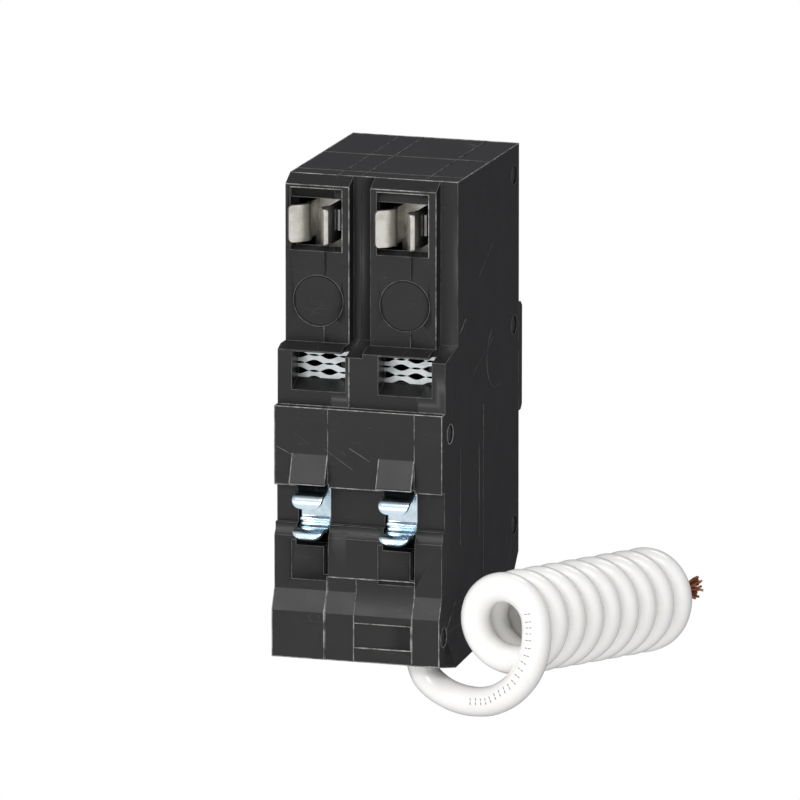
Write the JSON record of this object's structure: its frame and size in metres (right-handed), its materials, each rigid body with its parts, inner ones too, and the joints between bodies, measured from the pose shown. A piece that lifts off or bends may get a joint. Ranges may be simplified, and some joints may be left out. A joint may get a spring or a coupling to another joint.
{
  "type": "gfci breaker",
  "caption": "Double-pole plug-on ground-fault circuit breaker: black case, line jaws and rail clips at the rear, tied handles in front, coiled white neutral lead.",
  "frame": {"origin": "on the panel rail: floor of the rail groove, midway across the width", "axes": "+X across the poles, +Y towards the handles, +Z towards the line end"},
  "size_m": [0.0806, 0.0857, 0.112],
  "materials": {
    "case_plastic": "semi-gloss black with grey scuffed edges",
    "handle_plastic": "satin black",
    "rivet_steel": "dull blackened",
    "tinned_copper": "dull tin plate",
    "spring_steel": "satin",
    "contact_silver": "satin",
    "arm_copper": "satin",
    "plain_steel": "zinc plated",
    "bimetal": "satin",
    "lug_aluminium": "satin",
    "screw_steel": "zinc plated",
    "galvanised_mesh": "galvanised",
    "zinc_clip": "bright bluish zinc",
    "bar_plastic": "moulded brown",
    "coil_copper": "enamelled wire",
    "core_iron": "painted",
    "board_green": "solder mask",
    "chip_black": "moulded",
    "button_plastic": "moulded blue",
    "white_pvc": "glossy white insulation",
    "bare_copper": "drawn, slightly oxidised"
  },
  "bodies": {
    "root": {"left_base": "case_plastic", "left_cover": "case_plastic", "right_base": "case_plastic", "right_cover": "case_plastic", "case_rivets": "rivet_steel", "line_jaw_left": "tinned_copper", "jaw_spring_left": "spring_steel", "fixed_contact_left": "contact_silver", "arc_plates_left": "plain_steel", "bimetal_left": "bimetal", "magnet_yoke_left": "plain_steel", "load_lug_left": "lug_aluminium", "vent_screen_left": "galvanised_mesh", "rail_clip_left": "zinc_clip", "line_jaw_right": "tinned_copper", "jaw_spring_right": "spring_steel", "fixed_contact_right": "contact_silver", "arc_plates_right": "plain_steel", "bimetal_right": "bimetal", "magnet_yoke_right": "plain_steel", "load_lug_right": "lug_aluminium", "vent_screen_right": "galvanised_mesh", "rail_clip_right": "zinc_clip", "solenoid_coil": "coil_copper", "sense_core": "core_iron", "circuit_board": "board_green", "board_parts": "chip_black", "test_contact": "spring_steel", "neutral_lead": "white_pvc", "neutral_coil": "white_pvc", "neutral_strands": "bare_copper"},
    "handles": {"handle_left": "handle_plastic", "handle_right": "handle_plastic", "handle_tie": "handle_plastic"},
    "trip_bar": {"trip_bar": "bar_plastic"},
    "plunger": {"solenoid_plunger": "plain_steel"},
    "test_button": {"test_button": "button_plastic"},
    "arm_left": {"contact_arm_left": "arm_copper", "contact_tip_left": "contact_silver", "main_spring_left": "spring_steel"},
    "cradle_left": {"cradle_left": "plain_steel"},
    "armature_left": {"armature_left": "plain_steel"},
    "clamp_left": {"clamp_plate_left": "screw_steel", "lug_screw_left": "screw_steel"},
    "arm_right": {"contact_arm_right": "arm_copper", "contact_tip_right": "contact_silver", "main_spring_right": "spring_steel"},
    "cradle_right": {"cradle_right": "plain_steel"},
    "armature_right": {"armature_right": "plain_steel"},
    "clamp_right": {"clamp_plate_right": "screw_steel", "lug_screw_right": "screw_steel"}
  },
  "joints": [
    {"name": "handle_swing", "type": "hinge", "parent": "root", "child": "handles", "pos_m": [-0.0031, 0.047, 0.0226], "axis": [1, 0, 0], "range_deg": [-17, 17]},
    {"name": "arm_left_swing", "type": "hinge", "parent": "root", "child": "arm_left", "pos_m": [-0.01265, 0.034, 0.028], "axis": [1, 0, 0], "range_deg": [-10.2, 10.2]},
    {"name": "cradle_left_release", "type": "hinge", "parent": "root", "child": "cradle_left", "pos_m": [-0.01265, 0.022, 0.014], "axis": [1, 0, 0], "range_deg": [0, 12]},
    {"name": "armature_left_pull", "type": "hinge", "parent": "root", "child": "armature_left", "pos_m": [-0.01265, 0.03185, 0.0004], "axis": [1, 0, 0], "range_deg": [0, 5], "stiffness_Nm_per_rad": 0.02},
    {"name": "clamp_left_travel", "type": "slide", "parent": "root", "child": "clamp_left", "axis": [0, -1, 0], "range_m": [0, 0.003]},
    {"name": "arm_right_swing", "type": "hinge", "parent": "root", "child": "arm_right", "pos_m": [0.0064, 0.034, 0.028], "axis": [1, 0, 0], "range_deg": [-10.2, 10.2]},
    {"name": "cradle_right_release", "type": "hinge", "parent": "root", "child": "cradle_right", "pos_m": [0.0064, 0.022, 0.014], "axis": [1, 0, 0], "range_deg": [0, 12]},
    {"name": "armature_right_pull", "type": "hinge", "parent": "root", "child": "armature_right", "pos_m": [0.0064, 0.03185, 0.0004], "axis": [1, 0, 0], "range_deg": [0, 5], "stiffness_Nm_per_rad": 0.02},
    {"name": "clamp_right_travel", "type": "slide", "parent": "root", "child": "clamp_right", "axis": [0, -1, 0], "range_m": [0, 0.003]},
    {"name": "trip_bar_turn", "type": "hinge", "parent": "root", "child": "trip_bar", "pos_m": [0, 0.038, 0.0096], "axis": [1, 0, 0], "range_deg": [-10, 0], "stiffness_Nm_per_rad": 0.02},
    {"name": "plunger_lift", "type": "slide", "parent": "root", "child": "plunger", "axis": [0, 0, 1], "range_m": [0, 0.0016], "stiffness_N_per_m": 60},
    {"name": "test_press", "type": "slide", "parent": "root", "child": "test_button", "axis": [0, -1, 0], "range_m": [0, 0.0012], "stiffness_N_per_m": 400}
  ],
  "couplings": [
    {"joint": "arm_left_swing", "follows": "handle_swing", "ratio": 0.6},
    {"joint": "arm_right_swing", "follows": "handle_swing", "ratio": 0.6}
  ]
}
